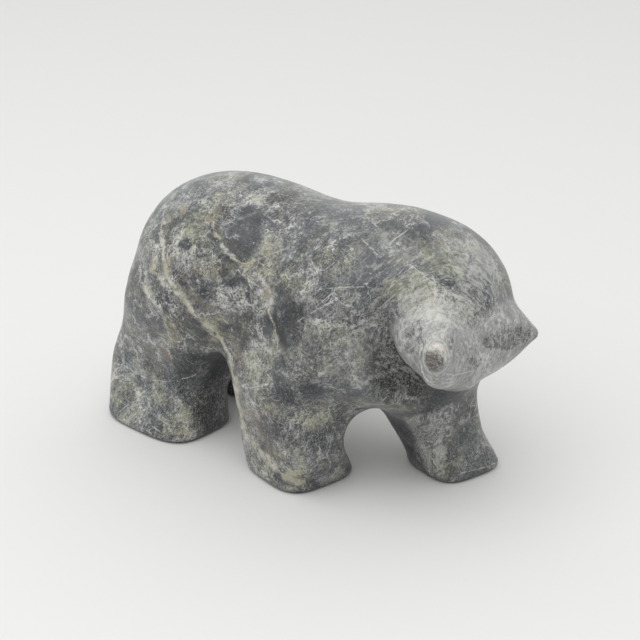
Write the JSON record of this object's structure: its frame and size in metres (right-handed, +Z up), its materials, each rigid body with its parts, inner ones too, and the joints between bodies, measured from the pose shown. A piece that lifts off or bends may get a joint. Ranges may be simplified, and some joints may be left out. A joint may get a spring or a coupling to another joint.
{
  "type": "soapstone bear sculpture",
  "caption": "Solid soapstone carving of a walking bear, its lowered head turned to the right; a free-standing display sculpture that rests on its soles.",
  "frame": {"origin": "on the ground under the middle of the carving's bounding box", "axes": "+X the way the bear walks, +Y its left side, +Z up; the soles lie on z = 0"},
  "size_m": [0.184, 0.0834, 0.1082],
  "materials": {
    "stone": "satin, hand-sanded, mottled blue-grey with cream veins and fine white scratches"
  },
  "bodies": {
    "root": {"bear": "stone"}
  },
  "joints": []
}
